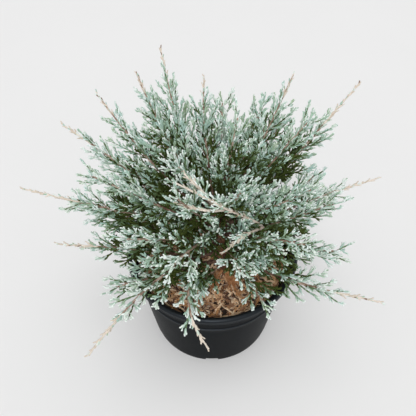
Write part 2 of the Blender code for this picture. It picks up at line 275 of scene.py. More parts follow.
cut_mesh.set_sharp_from_angle(angle=math.radians(POT_SHARP_ANGLE))
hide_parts("pot")

# The filling: damp potting mix, poured in and settled a little towards the wall. It shows only
# as the dark ground between the shreds of bark on top of it.
SOIL_HEIGHT = 0.178
SOIL_EDGE_DROP = 0.009
SOIL_FLAT_RADIUS = 0.058
SOIL_KNEE = 0.75
SOIL_KNEE_DROP = 0.45
SOIL_WALL_GAP = 0.0006
SOIL_SINK = 0.0016
SOIL_LUMPS = 0.0014
SOIL_LUMP_SCALE = 120
SOIL_RINGS = 56
SOIL_SEGMENTS = 150
SOIL_EDGE = wall_radius(SOIL_HEIGHT - SOIL_EDGE_DROP) - POT_WALL - SOIL_WALL_GAP


def soil_height(radius):
    """The mix is level round the plant, and falls away towards the wall."""
    knee = SOIL_KNEE * wall_radius(SOIL_HEIGHT - SOIL_EDGE_DROP)
    places = [0.0, SOIL_FLAT_RADIUS, knee, SOIL_EDGE]
    drops = [0.0, 0.0, SOIL_KNEE_DROP * SOIL_EDGE_DROP, SOIL_EDGE_DROP]
    return SOIL_HEIGHT - np.interp(radius, places, drops)


soil_points = [(0.0, 0.0, SOIL_HEIGHT - 0.001)]
for ring in range(1, SOIL_RINGS + 1):
    radius = SOIL_EDGE * ring / SOIL_RINGS
    for step in range(SOIL_SEGMENTS):
        angle = 2 * math.pi * step / SOIL_SEGMENTS
        x, y = radius * math.cos(angle), radius * math.sin(angle)
        lump = noise.fractal(Vector((x, y, 0.3)) * SOIL_LUMP_SCALE, 1.0, 2.0, 3)
        soil_points.append((x, y, float(soil_height(radius)) - SOIL_SINK + SOIL_LUMPS * lump))
soil_faces = [(0, 1 + s, 1 + (s + 1) % SOIL_SEGMENTS) for s in range(SOIL_SEGMENTS)]
for ring in range(SOIL_RINGS - 1):
    low, high = 1 + ring * SOIL_SEGMENTS, 1 + (ring + 1) * SOIL_SEGMENTS
    for s in range(SOIL_SEGMENTS):
        t = (s + 1) % SOIL_SEGMENTS
        soil_faces.append((low + s, high + s, high + t, low + t))
damp_mix = surface(
    "damp_potting_mix",
    [(0.014, 0.008, 0.005), (0.030, 0.017, 0.010), (0.052, 0.030, 0.017)],
    180.0,
    0.9,
    bump=0.6,
    bump_scale=500.0,
)
soil_mesh = make_mesh("potting_mix_top", soil_points, soil_faces)
soil_piece = add_piece("potting_mix_top", soil_mesh, damp_mix)
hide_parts("potting_mix")

# The mulch: shreds of pine bark and wood, scattered by hand over the mix and lying every way,
# some half buried and some on top of others. Larger orange curls lie at the foot of the trunk.
SHRED_COUNT = 3800
SHRED_LENGTH = (0.010, 0.021)
SHRED_SIZES = (0.6, 1.0, 1.25)
SHRED_WIDTH = (0.0009, 0.0022)
# Places along a shred, from -0.5 to 0.5, and how wide it is there. Then the corners of its section.
SHRED_OUTLINE = ((-0.5, 0.30), (-0.30, 1.0), (0.22, 0.85), (0.5, 0.22))
SHRED_SECTION = ((1, 0.1), (-0.1, 0.42), (-1, -0.1), (0.1, -0.42))
SHRED_TILT = 16
SHRED_ROLL = 28
SHRED_SAG = (-0.06, 0.13)
SHRED_BOW = 0.045
SHRED_SUNK = 0.0006
SHRED_PILE = 0.0048
EDGE_PILE = 0.003
EDGE_PILE_FROM = 0.088
EDGE_PILE_WIDTH = 0.030
SHRED_WALL_GAP = 0.003
SHRED_END_GAP = 0.0025
SHRED_TRUNK_GAP = 0.012
SHRED_TONES = {
    "pale": ((0.82, 0.570, 0.355), (0.95, 0.745, 0.525)),
    "tan": ((0.57, 0.325, 0.160), (0.76, 0.475, 0.272)),
    "orange": ((0.44, 0.205, 0.080), (0.60, 0.305, 0.135)),
    "brown": ((0.25, 0.125, 0.065), (0.36, 0.190, 0.105)),
    "dark": ((0.080, 0.038, 0.022), (0.140, 0.070, 0.042)),
    "grey": ((0.38, 0.270, 0.190), (0.54, 0.410, 0.310)),
}
SHRED_SHARES = {"pale": 0.20, "tan": 0.28, "orange": 0.12, "brown": 0.17, "dark": 0.17, "grey": 0.06}
TRUNK_FOOT = np.array([0.020, -0.030, SOIL_HEIGHT + 0.0003])
CURL_COUNT = 22
CURL_WAYS = (238, 286, 293, 300)
CURL_OUT = (0.014, 0.040)
CURL_LENGTH = (0.024, 0.042)
CURL_WIDTH = (0.0014, 0.0026)
CURL_SAG = (-0.003, 0.003)
CURL_LIFT = 0.0090
CURL_SLOPE = 0.10


def unit(vectors):
    vectors = np.asarray(vectors, float)
    return vectors / np.maximum(np.linalg.norm(vectors, axis=-1, keepdims=True), 1e-9)


def shred_mesh(name, centre, yaw, tilt, roll, length, width, sag):
    """Flat tapering shreds, four rings of four corners each, joined into one mesh."""
    count = len(centre)
    ahead = np.stack([np.cos(tilt) * np.cos(yaw), np.cos(tilt) * np.sin(yaw), np.sin(tilt)], 1)
    beside = unit(np.cross(ahead, [0.0, 0.0, 1.0]))
    above = np.cross(beside, ahead)
    turned_beside = beside * np.cos(roll)[:, None] + above * np.sin(roll)[:, None]
    turned_above = np.cross(turned_beside, ahead)
    points = np.zeros((count, 4, 4, 3))
    for ring, (along_it, wide) in enumerate(SHRED_OUTLINE):
        middle = centre + ahead * (length * along_it)[:, None]
        bend = 4 * along_it * along_it - 0.5
        bow = SHRED_BOW * np.sin(40 * yaw) * length
        middle = middle - turned_above * (sag * bend)[:, None] + turned_beside * (bow * bend)[:, None]
        for corner, (a, b) in enumerate(SHRED_SECTION):
            side = turned_beside * (width * wide * a)[:, None]
            points[:, ring, corner] = middle + side + turned_above * (width * wide * b)[:, None]
    faces = []
    for ring in range(3):
        for corner in range(4):
            following = (corner + 1) % 4
            low, high = ring * 4, ring * 4 + 4
            faces.append((low + corner, low + following, high + following, high + corner))
    faces += [(3, 2, 1, 0), (12, 13, 14, 15)]
    faces = np.array(faces)
    all_faces = (faces[None] + 16 * np.arange(count)[:, None, None]).reshape(-1, 4)
    return make_mesh(name, points.reshape(-1, 3), all_faces)


shred_rng = np.random.default_rng(41)
shred_yaw = shred_rng.uniform(0, 2 * math.pi, SHRED_COUNT)
shred_out = (SOIL_EDGE - SHRED_WALL_GAP) * np.sqrt(shred_rng.uniform(0, 1, SHRED_COUNT))
shred_way = shred_rng.uniform(0, 2 * math.pi, SHRED_COUNT)
shred_size = shred_rng.uniform(*SHRED_LENGTH, SHRED_COUNT) * shred_rng.choice(SHRED_SIZES, SHRED_COUNT)
shred_half = shred_rng.uniform(*SHRED_WIDTH, SHRED_COUNT)
shred_lift = SHRED_PILE * shred_rng.uniform(0, 1, SHRED_COUNT) ** 1.3
# The shreds lie a little deeper where the mix has sunk at the wall.
shred_lift += EDGE_PILE * np.clip((shred_out - EDGE_PILE_FROM) / EDGE_PILE_WIDTH, 0, 1)
shred_tilt = np.radians(shred_rng.normal(0, SHRED_TILT, SHRED_COUNT))
shred_roll = np.radians(shred_rng.normal(0, SHRED_ROLL, SHRED_COUNT))
shred_sag = shred_size * shred_rng.uniform(*SHRED_SAG, SHRED_COUNT)
shred_centre = np.stack([
    shred_out * np.cos(shred_way),
    shred_out * np.sin(shred_way),
    soil_height(shred_out) - SHRED_SUNK + shred_lift,
], 1)
# A shred whose end would reach the pot's wall lies along the wall.
shred_half_way = np.stack([np.cos(shred_yaw), np.sin(shred_yaw)], 1) * shred_size[:, None] * 0.5
end_reach = np.linalg.norm(shred_centre[:, :2] + shred_half_way, axis=1)
start_reach = np.linalg.norm(shred_centre[:, :2] - shred_half_way, axis=1)
at_wall = np.maximum(end_reach, start_reach) > SOIL_EDGE - SHRED_END_GAP
shred_yaw = np.where(at_wall, shred_way + math.pi / 2, shred_yaw)
shred_tilt = np.where(at_wall, 0.0, shred_tilt)
clear_of_trunk = np.linalg.norm(shred_centre[:, :2] - TRUNK_FOOT[:2], axis=1) > SHRED_TRUNK_GAP
tone_names = list(SHRED_TONES)
shred_tone = shred_rng.choice(len(tone_names), SHRED_COUNT, p=[SHRED_SHARES[n] for n in tone_names])
for number, tone in enumerate(tone_names):
    chosen = (shred_tone == number) & clear_of_trunk
    shreds = shred_mesh(
        f"bark_shreds_{tone}", shred_centre[chosen], shred_yaw[chosen], shred_tilt[chosen],
        shred_roll[chosen], shred_size[chosen], shred_half[chosen], shred_sag[chosen],
    )
    finish = surface(f"{tone}_bark_shred", SHRED_TONES[tone], 160.0, 0.85, bump=0.5, bump_scale=700.0)
    add_piece(f"bark_shreds_{tone}", shreds, finish, smooth=False)

curl_way = np.radians(shred_rng.choice(CURL_WAYS, CURL_COUNT) + shred_rng.normal(0, 5, CURL_COUNT))
curl_out = shred_rng.uniform(*CURL_OUT, CURL_COUNT)
curl_centre = np.stack([
    TRUNK_FOOT[0] + curl_out * np.cos(curl_way),
    TRUNK_FOOT[1] + curl_out * np.sin(curl_way),
    SOIL_HEIGHT + CURL_LIFT - CURL_SLOPE * curl_out + shred_rng.uniform(-0.001, 0.002, CURL_COUNT),
], 1)
curls = shred_mesh(
    "orange_bark_curls", curl_centre, curl_way + np.radians(shred_rng.normal(0, 10, CURL_COUNT)),
    np.radians(shred_rng.uniform(-16, -3, CURL_COUNT)), np.radians(shred_rng.normal(0, 30, CURL_COUNT)),
    shred_rng.uniform(*CURL_LENGTH, CURL_COUNT), shred_rng.uniform(*CURL_WIDTH, CURL_COUNT),
    shred_rng.uniform(*CURL_SAG, CURL_COUNT),
)
curl_bark = surface(
    "orange_bark_curl", [(0.27, 0.112, 0.042), (0.43, 0.190, 0.078), (0.56, 0.300, 0.140)], 150.0, 0.85,
    bump=0.5, bump_scale=600.0,
)
add_piece("orange_bark_curls", curls, curl_bark, smooth=False)

# The trunk: one short woody stem that leans back. Its bark is stringy and splits lengthwise,
# and it widens into a flare of ridges where it meets the mix.
TRUNK_HEIGHT = 0.112
TRUNK_LEAN = np.array([-0.014, 0.026, TRUNK_HEIGHT])
TRUNK_FOOT_RADIUS = 0.0095
TRUNK_TOP_RADIUS = 0.0062
FLARE_RADIUS = 0.006
FLARE_HEIGHT = 0.010
FLARE_RIDGES = 5
RIDGE_HEIGHT = 0.013
RIDGE_RELIEF = 0.0011
STRANDS_ROUND = 2.6
STRANDS_UP = 22
STRAND_RELIEF = 0.10
SPLITS_ROUND = 6
SPLITS_UP = 30
SPLIT_DEPTH = 0.14
SPLIT_WIDTH = 0.06
TRUNK_SUNK = 0.0018
TRUNK_SIDES = 64
TRUNK_RINGS = 90


def trunk_point(height):
    """The trunk's centre at a height above the mix, along its lean."""
    return TRUNK_FOOT + TRUNK_LEAN * (height / TRUNK_HEIGHT)


def trunk_radius(height):
    taper = TRUNK_FOOT_RADIUS + (TRUNK_TOP_RADIUS - TRUNK_FOOT_RADIUS) * height / TRUNK_HEIGHT
    return taper + FLARE_RADIUS * math.exp(-height / FLARE_HEIGHT)


def tube_faces(rings, sides):
    """Quads between the rings of a tube whose corners run ring by ring."""
    ring = np.arange(rings - 1)[:, None] * sides
    corner = np.arange(sides)[None]
    following = (corner + 1) % sides
    quads = np.stack([ring + corner, ring + following, ring + sides + following, ring + sides + corner], -1)
    return quads.reshape(-1, 4)


trunk_points = []
for ring in range(TRUNK_RINGS + 1):
    # The rings stand closer together at the foot, where the flare is.
    height = TRUNK_HEIGHT * (ring / TRUNK_RINGS) ** 1.2
    centre = trunk_point(height)
    for side in range(TRUNK_SIDES):
        angle = 2 * math.pi * side / TRUNK_SIDES
        x, y = math.cos(angle), math.sin(angle)
        strand_place = Vector((x * STRANDS_ROUND, y * STRANDS_ROUND, height * STRANDS_UP))
        strand = noise.fractal(strand_place, 1.0, 2.0, 3)
        split = abs(noise.noise(Vector((x * SPLITS_ROUND, y * SPLITS_ROUND, height * SPLITS_UP + 7))))
        ridge = math.exp(-height / RIDGE_HEIGHT) * math.cos(FLARE_RIDGES * angle + 1.0 + 40 * height)
        bark = 0.93 + STRAND_RELIEF * strand - SPLIT_DEPTH * (split < SPLIT_WIDTH)
        radius = trunk_radius(height) * bark + RIDGE_RELIEF * ridge
        sunk = TRUNK_SUNK * math.exp(-height / 0.004)
        trunk_points.append((centre[0] + radius * x, centre[1] + radius * y, centre[2] - sunk))
trunk_faces = [tuple(f) for f in tube_faces(TRUNK_RINGS + 1, TRUNK_SIDES)]
trunk_faces.append(tuple(TRUNK_RINGS * TRUNK_SIDES + s for s in range(TRUNK_SIDES)))
trunk_bark = surface(
    "stringy_trunk_bark", [(0.085, 0.036, 0.018), (0.20, 0.090, 0.046), (0.34, 0.175, 0.10)], 90.0, 0.88,
    bump=0.7, bump_scale=420.0, stretch=(1.0, 1.0, 0.22),
)
trunk_mesh = make_mesh("trunk_and_flare", trunk_points, trunk_faces)
trunk_piece = add_piece("trunk_and_flare", trunk_mesh, trunk_bark)
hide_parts("trunk")

# The shoots: this year's and older wood that fans out from the trunk in tiers and arches over
# the rim. Old wood near the trunk is red-brown, young wood further out is a pinkish tan, and
# the growing tips are cream.
PATH_STEPS = 24
SWAY = 4.0
ROOT_RADIUS = {"low": 0.0034, "mid": 0.0031, "top": 0.0026, "crown": 0.0026}
TIP_RADIUS = 0.0009
BOUGH_SHARE = 0.30
BOUGH_LEAST_LENGTH = 0.190
GAP = 0.0003
# name, tier, height of the root on the trunk in mm, azimuth (0 is +X, 270 faces the viewer),
# rise at the root, change of rise to the tip, length in mm, length of the bare tip in mm,
# change of azimuth to the tip
SHOOTS = (
    ("right", "low", 46, 351, 6, 8, 190, 10, 0),
    ("right_long", "low", 24, 331, 12, -9, 240, 62, 12),
    ("front_right", "low", 35, 300, 16, -22, 122, 8, 0),
    ("front", "low", 59, 222, 27, -48, 196, 40, 87),
    ("front_left", "low", 46, 222, 33, -46, 264, 60, 13),
    ("left_front", "low", 24, 206, 20, -12, 190, 12, 0),
    ("left", "low", 35, 187, 12, 6, 242, 52, 0),
    ("left_back", "low", 46, 168, 14, 0, 250, 14, 0),
    ("back_left", "low", 24, 138, 12, 8, 235, 14, 0),
    ("back", "low", 35, 104, 12, 10, 230, 40, 0),
    ("back_right", "low", 24, 70, 12, 8, 235, 14, 0),
    ("right_back", "low", 35, 38, 14, 8, 206, 14, 0),
    ("mid_left", "mid", 59, 176, 26, -10, 294, 74, 0),
    ("mid_left_back", "mid", 81, 163, 40, -8, 268, 40, 0),
    ("mid_back_left", "mid", 59, 127, 36, 8, 240, 14, 0),
    ("mid_back", "mid", 81, 88, 45, 8, 205, 14, 0),
    ("mid_back_right", "mid", 59, 56, 38, 8, 214, 14, 0),
    ("mid_right_back", "mid", 81, 30, 40, 4, 285, 66, 0),
    ("mid_right", "mid", 70, 13, 20, -8, 248, 60, 0),
    ("mid_right_front", "mid", 59, 356, 38, -4, 194, 10, 0),
    ("mid_front_right", "mid", 81, 320, 36, -8, 175, 10, 0),
    ("mid_front", "mid", 59, 280, 46, -12, 165, 10, 0),
    ("mid_front_left", "mid", 81, 244, 40, -12, 176, 10, 0),
    ("mid_left_front", "mid", 70, 214, 38, 0, 196, 10, 0),
    ("top_back_left", "top", 92, 129, 50, -2, 267, 42, -24),
    ("top_left_back", "top", 106, 143, 49, 22, 240, 34, 4),
    ("top_left", "top", 99, 160, 43, 2, 250, 40, -17),
    ("top_left_front", "top", 92, 188, 35, 10, 226, 12, 0),
    ("top_back", "top", 99, 110, 59, -16, 208, 34, -24),
    ("top_back_right", "top", 92, 60, 52, 4, 206, 14, 0),
    ("top_right_back", "top", 106, 44, 52, 8, 229, 36, 0),
    ("top_right", "top", 99, 24, 50, 0, 212, 12, 0),
    ("top_front_right", "top", 92, 338, 46, 6, 195, 10, 0),
    ("top_front", "top", 106, 290, 62, 4, 166, 10, 0),
    ("top_front_left", "top", 99, 236, 55, 8, 182, 10, 0),
    ("leader", "crown", 112, 20, 80, 4, 198, 24, 0),
)
TIERS = ("low", "mid", "top")
OLD_WOOD_END = 0.42
# The share of a shoot where its foliage starts, with and without a bough of its own.
FOLIAGE_PAST_BOUGH = 0.27
FOLIAGE_FROM = 0.10
# A shoot with a bare tip longer than this is a leader.
LEADER_BARE = 0.03
# Pale young shoots that cross over the middle of the crown, in mm: points from foot to tip.
CROSSING = (
    ((80, -25, 272), (70, -32, 300), (47, -46, 334), (18, -58, 366), (-9, -56, 386), (-49, -38, 396)),
    ((76, -30, 290), (53, -56, 315), (37, -70, 320), (14, -86, 308)),
    ((-2, -56, 378), (-18, -45, 394), (-37, -30, 404)),
    ((18, -58, 366), (-6, -66, 372), (-30, -64, 378), (-50, -58, 380)),
)
CROSSING_BARE = (0.022, 0.020, 0.024, 0.014)
CROSSING_SIZE = 0.40
CROSSING_RADIUS = 0.0021
# They lie on the crown's front and top, and are lifted off it this way by this much.
OPEN_SIDE = np.array([-0.04, -0.63, 0.78])
CROSSING_LIFT = 0.012
# Short shoots that fill the middle and the front of the crown, in mm: points from foot to tip.
INNER = (
    ((14, -18, 262), (10, -42, 296), (-2, -66, 330)),
    ((18, -18, 252), (36, -50, 288), (52, -78, 304)),
    ((12, -20, 248), (-12, -50, 282), (-34, -78, 296)),
    ((16, -10, 276), (54, -14, 322), (90, -17, 359)),
    ((12, -8, 284), (18, -4, 345), (25, 8, 400)),
    ((8, 0, 286), (-30, 4, 350), (-64, 10, 404)),
    ((14, -8, 284), (36, -24, 328), (62, -36, 362)),
    ((18, -14, 262), (40, -40, 306), (62, -66, 338)),
    ((20, -24, 236), (46, -56, 262), (68, -88, 280)),
    ((20, -24, 230), (58, -50, 252), (91, -77, 270)),
    ((16, -38, 208), (-10, -84, 238), (-42, -120, 248)),
)
# Short shoots between the low and middle tiers, which hide the trunk from behind and from the
# sides: azimuth, rise, length in mm and height of the root on the trunk in mm.
HIDDEN = (
    (22, 27, 112, 46), (58, 25, 118, 54), (86, 28, 112, 44), (112, 24, 120, 56), (140, 27, 116, 48),
    (166, 25, 118, 58), (345, 28, 96, 50),
)
INNER_SIZE = 0.75
HIDDEN_SIZE = 0.70
SHORT_RADIUS = 0.0017
SHORT_BARE = 0.004
EXTRA_FIRST = 0.12
EXTRA_TIP_RADIUS = 0.0012
UP = np.array([0.0, 0.0, 1.0])


def direction(azimuth, rise):
    """A unit vector from two angles in degrees."""
    a, e = math.radians(azimuth), math.radians(rise)
    return np.array([math.cos(e) * math.cos(a), math.cos(e) * math.sin(a), math.sin(e)])


def root_place(shoot):
    """Where a shoot starts on the trunk, as in the plant's solids."""
    _, tier, root_mm, azimuth, rise, _, _, _, _ = shoot
    axis = TRUNK_LEAN / np.linalg.norm(TRUNK_LEAN)
    ahead = direction(azimuth, rise)
    radius = ROOT_RADIUS[tier]
    side = ahead - axis * ahead.dot(axis)
    if tier == "crown":
        return trunk_point(TRUNK_HEIGHT) + axis * (GAP + radius * np.linalg.norm(side))
    height = root_mm / 1000
    out = trunk_radius(height) + radius * abs(ahead.dot(axis)) + GAP
    return trunk_point(height) + side / np.linalg.norm(side) * out


def shoot_path(index):
    """The centre line of a shoot, as in the plant's solids: it bends, swings round and sways."""
    _, _, _, azimuth, rise, bend, length_mm, _, swing = SHOOTS[index]
    point = root_place(SHOOTS[index])
    points = [point]
    for step in range(PATH_STEPS):
        share = (step + 0.5) / PATH_STEPS
        turn = SWAY * math.sin(math.pi * share) * math.sin(2 * math.pi * share + index * 2.4)
        heading = direction(azimuth + swing * share + turn, rise + bend * share)
        point = point + heading * (length_mm / 1000 / PATH_STEPS)
        points.append(point)
    return np.array(points)


def along(points, share):
    """Points and unit directions at an array of shares of a path's length."""
    place = np.clip(share, 0.0, 1.0) * (len(points) - 1)
    first = np.minimum(place.astype(int), len(points) - 2)
    ahead = points[first + 1] - points[first]
    return points[first] + ahead * (place - first)[:, None], unit(ahead)


def has_bough(shoot):
    """True where the foot of a shoot is a bough of its own in the plant's solids."""
    return shoot[1] in ("low", "mid") and shoot[6] / 1000 >= BOUGH_LEAST_LENGTH


def stem_radius(stem, shares):
    """The wood is as thick as a bough to the bough's end, and slims faster from there on."""
    left = np.maximum(1 - shares, 0.0)
    slim = np.interp(shares, [0.0, BOUGH_SHARE, 0.6, 1.0], [1.0, 1.0, 0.66, 0.6])
    return stem["tip"] + (stem["base"] - stem["tip"]) * left ** 0.9 * slim


stems = []
for index, shoot in enumerate(SHOOTS):
    _, tier, _, _, _, _, length_mm, bare_mm, _ = shoot
    stems.append({
        "path": shoot_path(index), "tier": "top" if tier == "crown" else tier,
        "length": length_mm / 1000, "bare": bare_mm / 1000,
        "name": shoot[0], "first": FOLIAGE_PAST_BOUGH if has_bough(shoot) else FOLIAGE_FROM, "size": 1.0,
        "base": ROOT_RADIUS[tier], "tip": TIP_RADIUS, "kind": "shoot", "turn": 70 * index,
    })


def rounded(points, rounds=3):
    """A path with its corners cut, again and again, until it bends evenly."""
    points = np.asarray(points, float)
    for _ in range(rounds):
        near = points[:-1] * 0.75 + points[1:] * 0.25
        far = points[:-1] * 0.25 + points[1:] * 0.75
        cut = np.stack([near, far], 1).reshape(-1, 3)
        points = np.concatenate([points[:1], cut[1:-1], points[-1:]])
    return points


def extra_stem(points, kind, bare, size, base, lift=0.0):
    """A shoot that is given by its points in mm. Past its foot it is lifted off the crown."""
    path = rounded(np.array(points) / 1000)
    path = path + OPEN_SIDE * lift * np.minimum(np.arange(len(path)) / 6, 1)[:, None]
    length = float(np.linalg.norm(np.diff(path, axis=0), axis=1).sum())
    return {
        "path": path, "tier": "mid", "length": length, "bare": bare,
        "name": kind, "first": EXTRA_FIRST, "size": size,
        "base": base, "tip": EXTRA_TIP_RADIUS, "kind": kind, "turn": 40,
    }


for points, bare in zip(CROSSING, CROSSING_BARE):
    stems.append(extra_stem(points, "pale", bare, CROSSING_SIZE, CROSSING_RADIUS, CROSSING_LIFT))
for points in INNER:
    stems.append(extra_stem(points, "inner", SHORT_BARE, INNER_SIZE, SHORT_RADIUS))
for azimuth, rise, length_mm, root_mm in HIDDEN:
    root = trunk_point(root_mm / 1000) * 1000
    middle = root + direction(azimuth, rise + 10) * 0.45 * length_mm
    points = (root, middle, middle + direction(azimuth, rise - 6) * 0.55 * length_mm)
    stems.append(extra_stem(points, "hidden", SHORT_BARE, HIDDEN_SIZE, SHORT_RADIUS))

# The wood of the stems: how rough the bark is, how knobbly each kind of wood is and how many
# sides its limbs have. The wood of a stem with no bare tip ends a little before the last spray.
BARK_ROUGHNESS = 0.22
KNOBS = {"old": 0.10, "young": 0.10, "cream": 0.22}
LIMB_SIDES = {"old": 9, "young": 7, "cream": 7}
LIMB_RING_STEP = 0.0026
WOOD_TO_TIP = 0.018
# The cream wood of a bare tip starts a little before it. In the top tier only a tip longer than
# this is cream.
CREAM_SHARE = 1.1
CREAM_TOP_BARE = 0.041
# Not quite upright, so that a limb that points straight up still has a side.
LIMB_UP = UP + np.array([0.013, 0.017, 0.0])


def limb_mesh_parts(path, radii, sides, seed):
    """Corners of a round limb with rough, slightly ridged bark, and its faces."""
    ahead = unit(np.gradient(path, axis=0))
    beside = unit(np.cross(ahead, LIMB_UP))
    above = np.cross(beside, ahead)
    corners = []
    for k, (centre, radius) in enumerate(zip(path, radii)):
        for side in range(sides):
            angle = 2 * math.pi * side / sides
            ridge = noise.noise(Vector((math.cos(angle) * 1.7 + seed, math.sin(angle) * 1.7, k * 0.31)))
            wide = radius * (1 + BARK_ROUGHNESS * ridge)
            corners.append(centre + beside[k] * wide * math.cos(angle) + above[k] * wide * math.sin(angle))
    corners.append(path[0] - ahead[0] * radii[0] * 0.2)
    corners.append(path[-1] + ahead[-1] * radii[-1] * 0.8)
    faces = [tuple(f) for f in tube_faces(len(path), sides)]
    low, high = len(path) * sides, len(path) * sides + 1
    last = (len(path) - 1) * sides
    for side in range(sides):
        following = (side + 1) % sides
        faces.append((low, following, side))
        faces.append((high, last + side, last + following))
    return corners, faces


def join_parts(name, parts):
    points, faces = [], []
    for corners, own_faces in parts:
        start = len(points)
        points.extend(corners)
        faces.extend(tuple(v + start for v in face) for face in own_faces)
    return make_mesh(name, points, faces)


def cream_tipped(stem):
    """True for the longest leaders and those outside the top tier. The others have brown tips."""
    return stem["tier"] != "top" or stem["bare"] > CREAM_TOP_BARE


wood_parts = {"old": [], "young": [], "cream": []}
for number, stem in enumerate(stems):
    leader = stem["bare"] > LEADER_BARE
    bare_from = 1 - CREAM_SHARE * stem["bare"] / stem["length"]
    wood_end = bare_from if leader else 1 - WOOD_TO_TIP / stem["length"]
    if stem["kind"] == "shoot":
        stretches = [("old", 0.0, OLD_WOOD_END), ("young", OLD_WOOD_END, wood_end)]
    elif stem["kind"] in ("inner", "hidden"):
        stretches = [("young", 0.0, wood_end)]
    else:
        stretches = [("cream", 0.0, 1.0)]
    if leader:
        stretches.append(("cream" if cream_tipped(stem) else "young", bare_from, 1.0))
    for kind, start, end in stretches:
        rings = max(4, int((end - start) * stem["length"] / LIMB_RING_STEP))
        shares = np.linspace(start, end, rings)
        centres, _ = along(stem["path"], shares)
        knobs = 1 + KNOBS[kind] * np.sin(np.arange(rings) * 1.9 + number)
        radii = stem_radius(stem, shares) * knobs
        wood_parts[kind].append(limb_mesh_parts(centres, radii, LIMB_SIDES[kind], number * 3.7))
old_bark = surface(
    "red_brown_old_bark", [(0.070, 0.036, 0.024), (0.150, 0.082, 0.056), (0.27, 0.165, 0.120)], 170.0, 0.82,
    bump=0.6, bump_scale=800.0,
)
young_bark = surface(
    "pinkish_young_bark", [(0.22, 0.135, 0.095), (0.37, 0.255, 0.195), (0.56, 0.430, 0.355)], 140.0, 0.75,
    bump=0.4, bump_scale=900.0,
)
cream_bark = surface(
    "cream_growing_tip", [(0.60, 0.48, 0.39), (0.76, 0.65, 0.56), (0.88, 0.80, 0.72)], 160.0, 0.7,
    bump=0.3, bump_scale=900.0,
)
boughs_mesh = join_parts("boughs_old_wood", wood_parts["old"])
boughs = add_piece("boughs_old_wood", boughs_mesh, old_bark)
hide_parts(*[f"bough_{shoot[0]}" for shoot in SHOOTS if has_bough(shoot)])
young_mesh = join_parts("stems_young_wood", wood_parts["young"])
add_piece("stems_young_wood", young_mesh, young_bark)
cream_mesh = join_parts("stems_cream_tips", wood_parts["cream"])
add_piece("stems_cream_tips", cream_mesh, cream_bark)

# The sprays: flat plumes of cord-like branchlets, closely clad in pairs of scale leaves. They
# grow all round each stem and point forwards. A waxy bloom makes the outer ones a silvery
# blue, and the old ones inside the crown are a dark olive green. Their tones also carry painted
# light and shade: growth under other sprays is dealt darker tones as painted shade, and growth
# on the upper side of a stem lighter tones as painted light.
PLUME_LENGTH = 0.074
PLUME_SWELL = ([0.0, 0.14, 0.42, 1.0], [0.48, 0.74, 1.0, 0.35])
PLUME_SPACING = 0.0096
PLUME_FORWARD = 37.0
PLUME_WOOD = 0.27
PLUME_END_FROM = 0.80
PLUME_END_SHARE = 0.24
PLUME_END_LEAST = 0.010
PALE_PLUME_LONGEST = 0.022
PALE_SIDE_LIMIT = 0.15
GOLDEN_ANGLE = 137.5
# Growth is drawn to the sides of a stem, and less so on the open shoots in front of the crown,
# whose plumes also stand further apart, by the factors in AIRY.
DRAWN_ASIDE = 0.36
AIRY_DRAWN_ASIDE = 0.05
AIRY = {
    "front": 1.5, "front_left": 1.5, "front_right": 1.5, "left_front": 1.3, "right_long": 1.25,
    "right": 1.3, "mid_front_left": 1.5, "mid_left_front": 1.35, "top_front_left": 1.25,
    "mid_front": 1.4, "mid_right": 1.2,
}
# How stout and coral-like a tier's growth is, from 0 to 1. Below, a pair of values is that of a
# slim plume and that of a stout spray.
STOUT = {"low": 0.85, "mid": 0.5, "top": 0.1}
SHORT_STOUT = 1.0
STOUT_SPREAD = 0.15
SPRAY_SPACING = (0.0038, 0.0080)
SPRAY_LENGTH = (0.0165, 0.0260)
SPRAY_OPENING = (33.0, 40.0)
SPRAY_FIRST = 0.07
SPRAY_DRAWN_ASIDE = 0.47
FULL_PLUME_LENGTH = 0.055
FILL_SPACING = 0.0050
FILL_LENGTH = 0.026
FILL_FIRST = 0.13
FILL_FORWARD = 38.0
FILL_TURN = 60
CORD_SPACING = (0.0028, 0.0050)
CORD_SHARE = (0.58, 0.64)
CORD_SHORTEST = 0.0034
CORD_LONGEST = (0.0120, 0.0165)
CORD_OPENING = (28.0, 31.0)
CORD_FIRST = 0.16
TWIG_SPACING = (0.0036, 0.0055)
TWIG_LENGTH = (0.0042, 0.0056)
TWIG_FIRST = 0.3
FORKED_CORD_LENGTH = (0.0082, 0.0110)
# Buds crowd the bare tip of a leader. They get shorter and closer to it from its foot to its end.
BUD_SPACING = 0.0042
BUD_LENGTH = (0.0105, 0.0060)
BUD_FORWARD = (25.0, 13.0)
BUD_CORD_OPENING = (22, 26)
BUD_CORD_FIRST = 0.25
PALE_BUDS_FROM = 0.3
# The bend of a new shoot: on towards its parent's line, and up to the light.
STEM_BEND = (0.16, 0.08)
SIDE_BEND = (0.20, 0.06)
TURN_SPREAD = 0.22
WHORL_SPREAD = 0.14
PAIR_SPREAD = 0.28
ANGLE_SPREAD = 4
PLUME_LENGTH_SPREAD = (0.70, 1.14)
SIDE_LENGTH_SPREAD = (0.80, 1.18)
CORD_RADIUS = (0.00108, 0.00142)
CORD_RADIUS_SPREAD = (0.90, 1.12)
CORD_TAPER_FROM = 0.78
CORD_SWELL = ([0.0, 0.45, CORD_TAPER_FROM], [0.88, 1.12, 0.78])
SCALE_LENGTH = 0.0031
SCALE_WIDE = 1.18
SCALE_NARROW = 0.80
SCALE_PAIRS = (2, 20)
POT_CLEAR = 0.003
WALL_CLEAR = 0.004
MULCH_CLEAR = 0.004
REACH_MARGIN = 0.010
OVER_PALE_RISES = (0.013, 0.026, 0.039)
OVER_PALE_RADIUS = 0.0085
